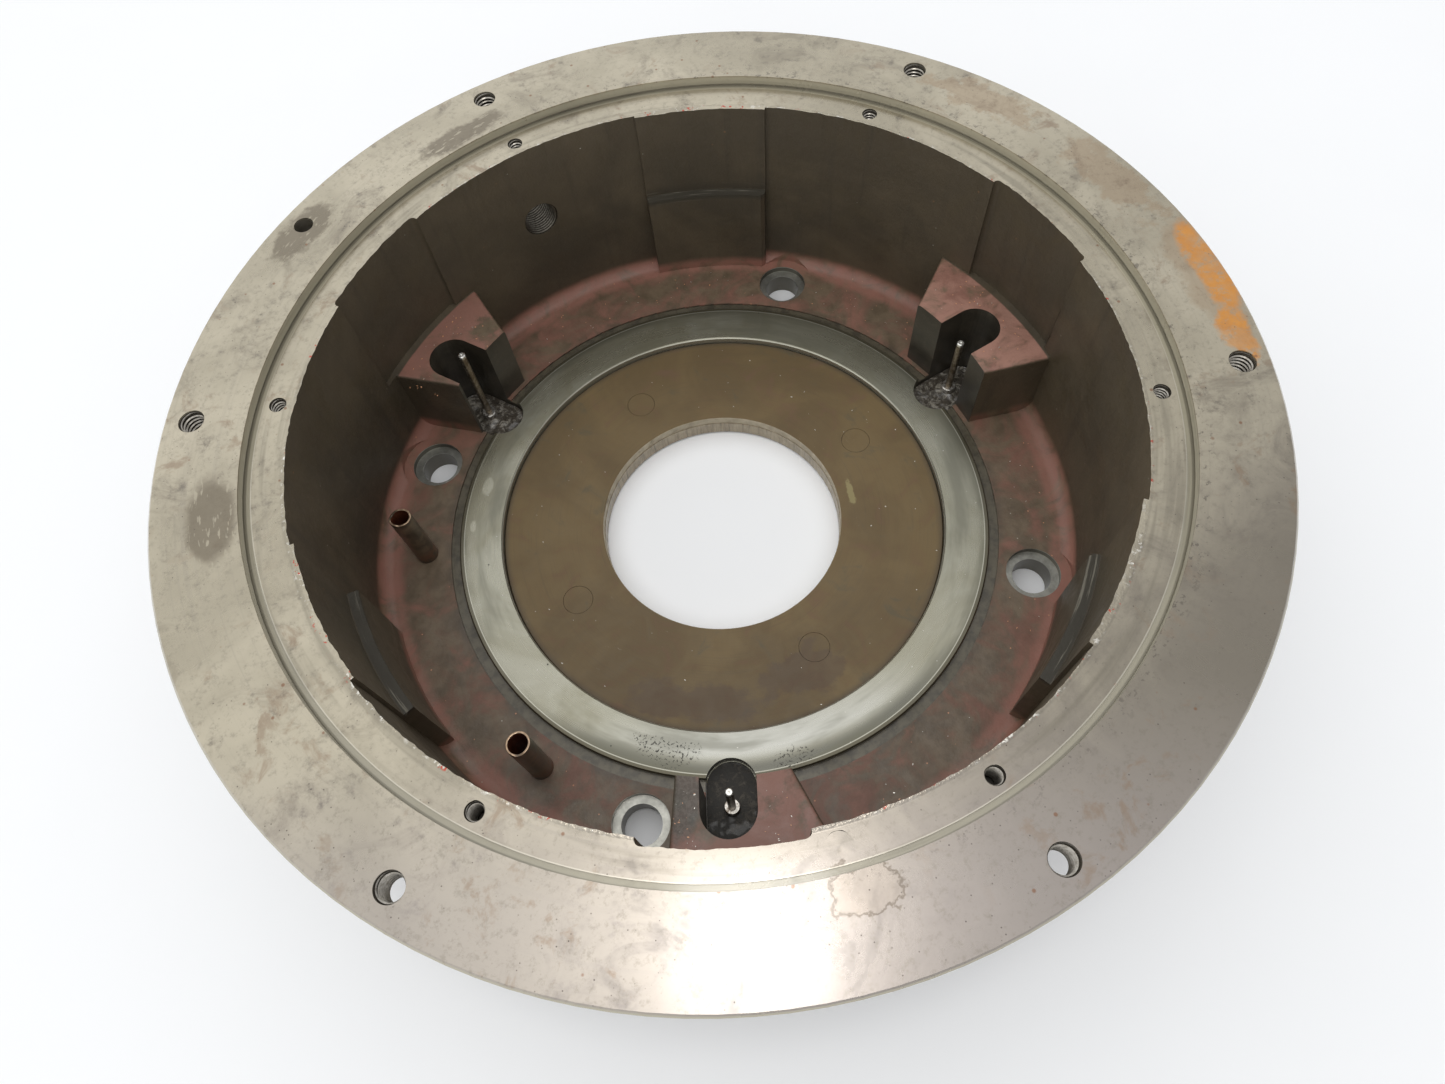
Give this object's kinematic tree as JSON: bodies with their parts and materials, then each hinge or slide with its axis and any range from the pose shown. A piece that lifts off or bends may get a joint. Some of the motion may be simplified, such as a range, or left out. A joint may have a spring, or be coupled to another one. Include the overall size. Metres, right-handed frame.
{
  "type": "lathe chuck body",
  "caption": "Bowl-shaped cast body of a power lathe chuck with a wide bolting flange, three pin bosses, a steel pilot ring, a thrust plate and oil tubes.",
  "frame": {"origin": "centre of the machined back face, on the chuck's axis", "axes": "+Z out of the open mouth; +X through the boss of the right-hand pin; the other bosses are at 120 and 240 degrees; the side port is along +Y"},
  "size_m": [0.3968, 0.3968, 0.108],
  "materials": {
    "cast_iron": "machined faces stained grey-beige; inside as cast, oily black-brown with red-brown primer on the floor",
    "ground_steel": "turned satin, oily",
    "black_steel": "black oxide",
    "bronze_plate": "brown oil-varnished bronze",
    "bright_steel": "turned, bright",
    "pin_steel": "oily brown shank, bright tip",
    "copper_tube": "darkened copper"
  },
  "bodies": {
    "body": {"housing": "cast_iron", "pilot_ring": "ground_steel", "pilot_ring_screws": "black_steel", "thrust_plate": "bronze_plate", "thrust_plate_screws": "bronze_plate", "pin_guide_right": "bright_steel", "pin_guide_left": "bright_steel", "pin_guide_front": "bright_steel", "oil_tube_short": "copper_tube", "oil_tube_tall": "copper_tube", "ledge_plug": "cast_iron"},
    "pin_right": {"release_pin_right": "pin_steel"},
    "pin_left": {"release_pin_left": "pin_steel"},
    "pin_front": {"release_pin_front": "pin_steel"}
  },
  "joints": [
    {"name": "right_pin_slide", "type": "slide", "parent": "body", "child": "pin_right", "axis": [0, 0, 1], "range_m": [-0.0028, 0.0035]},
    {"name": "left_pin_slide", "type": "slide", "parent": "body", "child": "pin_left", "axis": [0, 0, 1], "range_m": [-0.0028, 0.0035]},
    {"name": "front_pin_slide", "type": "slide", "parent": "body", "child": "pin_front", "axis": [0, 0, 1], "range_m": [-0.0028, 0.0035]}
  ]
}
